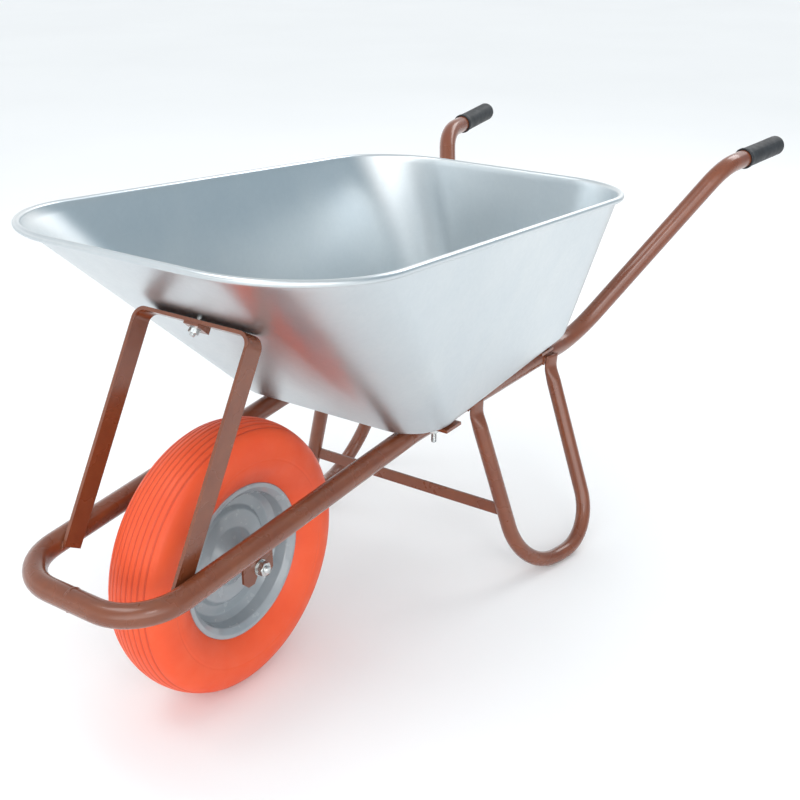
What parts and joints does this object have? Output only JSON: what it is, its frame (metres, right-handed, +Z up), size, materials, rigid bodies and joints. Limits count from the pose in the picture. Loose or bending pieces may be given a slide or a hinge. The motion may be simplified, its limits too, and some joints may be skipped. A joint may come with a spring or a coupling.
{
  "type": "wheelbarrow",
  "caption": "Builder's wheelbarrow: a deep sheet tray on a bent tube frame with loop legs, a front brace, rubber-like grips and a wheel with a solid foam tyre.",
  "frame": {"origin": "on the ground, at the middle of the whole barrow's length and width", "axes": "+X forward towards the wheel, +Y to the left seen from the handles, +Z up"},
  "size_m": [1.5441, 0.6784, 0.682],
  "materials": {
    "brown_paint": "semi-gloss",
    "black_plastic": "matte",
    "galvanised_sheet": "bright galvanised",
    "orange_foam": "satin",
    "grey_paint": "gloss",
    "white_nylon": "satin",
    "zinc_plate": "bright zinc"
  },
  "bodies": {
    "frame": {"left_frame_tube": "brown_paint", "right_frame_tube": "brown_paint", "left_grip": "black_plastic", "right_grip": "black_plastic", "tray": "galvanised_sheet", "front_cross_member": "brown_paint", "rear_cross_member": "brown_paint", "tray_bolts": "zinc_plate", "tray_bolt_washers": "zinc_plate", "tray_bolt_nuts": "zinc_plate", "front_brace": "brown_paint", "brace_wedge": "brown_paint", "brace_bolt": "zinc_plate", "brace_washer": "zinc_plate", "brace_nut": "zinc_plate", "left_leg": "brown_paint", "right_leg": "brown_paint", "leg_cross_brace": "brown_paint", "left_axle_bracket": "brown_paint", "right_axle_bracket": "brown_paint", "axle": "zinc_plate", "left_axle_spacer": "zinc_plate", "right_axle_spacer": "zinc_plate", "axle_washers": "zinc_plate", "axle_nuts": "zinc_plate"},
    "wheel": {"tyre": "orange_foam", "outer_rim_half": "grey_paint", "inner_rim_half": "grey_paint", "hub_tube": "grey_paint", "left_hub_bush": "white_nylon", "right_hub_bush": "white_nylon"}
  },
  "joints": [
    {"name": "wheel_spin", "type": "hinge", "parent": "frame", "child": "wheel", "pos_m": [0.47905, 0, 0.2], "axis": [0, 1, 0], "continuous": true}
  ]
}
